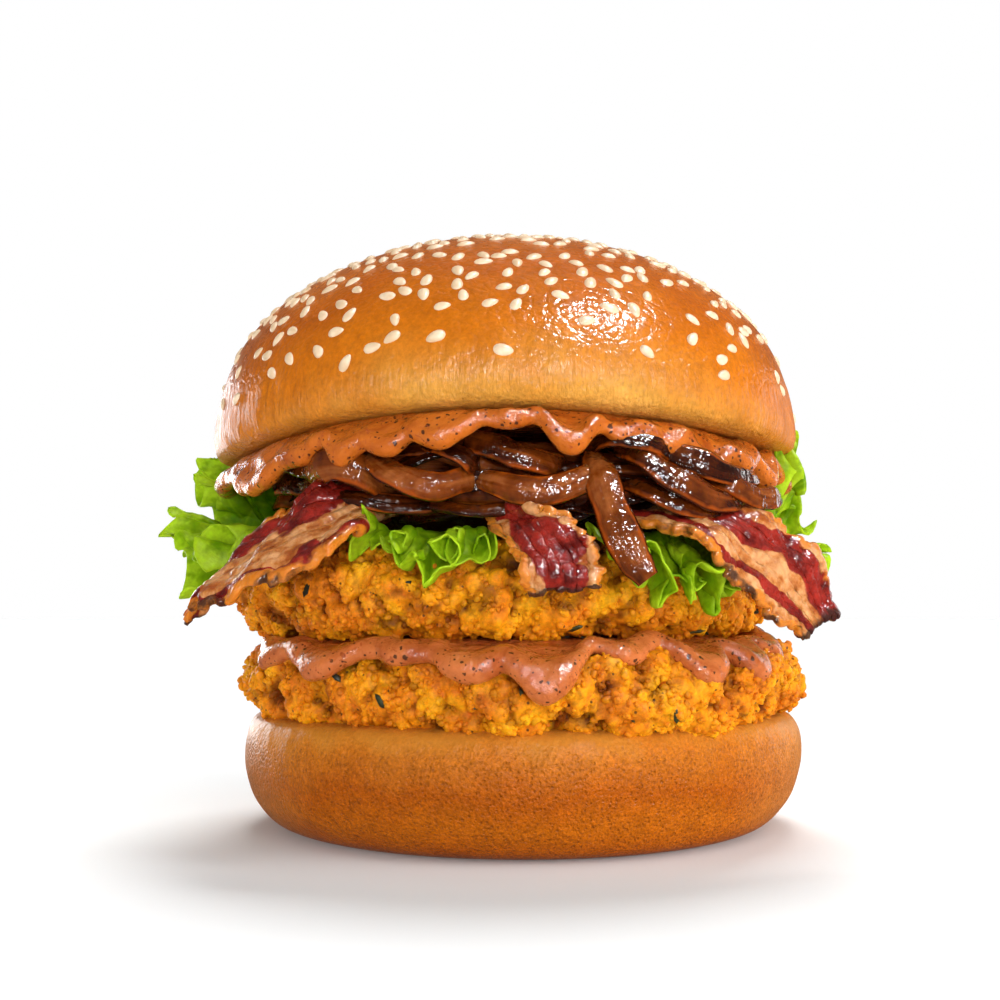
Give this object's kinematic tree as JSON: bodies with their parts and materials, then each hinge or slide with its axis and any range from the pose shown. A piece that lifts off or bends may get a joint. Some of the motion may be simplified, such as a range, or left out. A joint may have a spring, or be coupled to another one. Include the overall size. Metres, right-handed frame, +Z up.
{
  "type": "chicken burger",
  "caption": "Tall chicken burger: two breaded chicken patties in a sesame bun with sauce, bacon, lettuce and caramelised onions.",
  "frame": {"origin": "centre of the bottom bun's flat base, on the surface that the burger stands on", "axes": "+Z up; -Y towards the front, where the rashers and onions hang out; +X to the right seen from the front"},
  "size_m": [0.1341, 0.1255, 0.117],
  "materials": {
    "bun_crust": "glazed golden-brown crust with pale seeds",
    "bun_pale": "soft satin golden crust, paler at its top edge",
    "breading": "crisp craggy golden breading",
    "sauce": "glossy orange-brown sauce with dark specks",
    "lettuce": "thin frilly leaf, slightly shiny",
    "bacon": "fried, greasy, with pale fat streaks",
    "onion": "wet dark-brown translucent slices"
  },
  "bodies": {
    "root": {"bun_bottom": "bun_pale", "patty_lower": "breading", "sauce_lower": "sauce", "patty_upper": "breading", "lettuce_left": "lettuce", "lettuce_right": "lettuce", "bacon_left": "bacon", "bacon_middle": "bacon", "bacon_right": "bacon", "caramelised_onions": "onion", "sauce_upper": "sauce", "bun_top": "bun_crust"}
  },
  "joints": []
}
